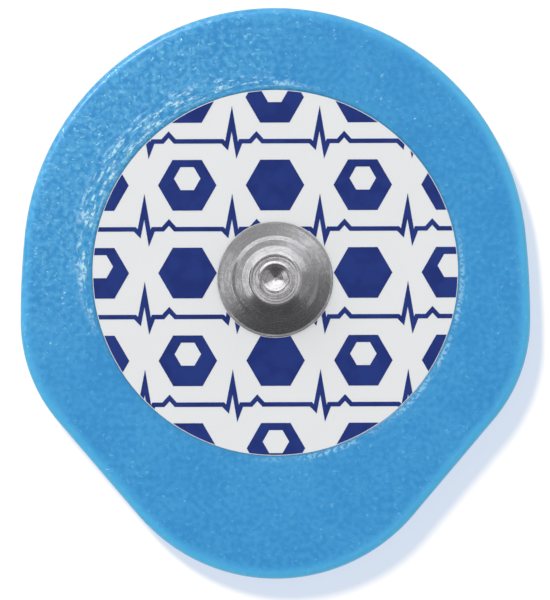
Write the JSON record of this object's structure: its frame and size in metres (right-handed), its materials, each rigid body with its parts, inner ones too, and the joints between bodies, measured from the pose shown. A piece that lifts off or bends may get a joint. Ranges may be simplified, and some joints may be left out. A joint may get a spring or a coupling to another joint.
{
  "type": "ecg electrode",
  "caption": "Disposable foam electrode with a round crown, a tapered lift tab, a printed round label, a drawn metal snap stud, a coated eyelet and a gel-filled well.",
  "frame": {"origin": "on the stud's axis, in the plane of the skin", "axes": "+Z out of the stud, away from the skin; +Y away from the lift tab; +X across the pad"},
  "size_m": [0.0384, 0.0429, 0.0051],
  "materials": {
    "foam": "fine closed-cell polyethylene foam, mid blue, soft sheen",
    "adhesive": "clear tacky acrylate coat",
    "label_film": "white satin film",
    "ink": "flat navy ink",
    "nickel_plate": "tumbled nickel plate with fine scratches",
    "silver_chloride": "matt silver and silver-chloride coat",
    "gel": "wet translucent hydrogel"
  },
  "bodies": {
    "root": {"foam_pad": "foam", "skin_adhesive": "adhesive", "top_label": "label_film", "label_print": "ink", "snap_stud": "nickel_plate", "sensor_eyelet": "silver_chloride", "gel_pad": "gel"}
  },
  "joints": []
}
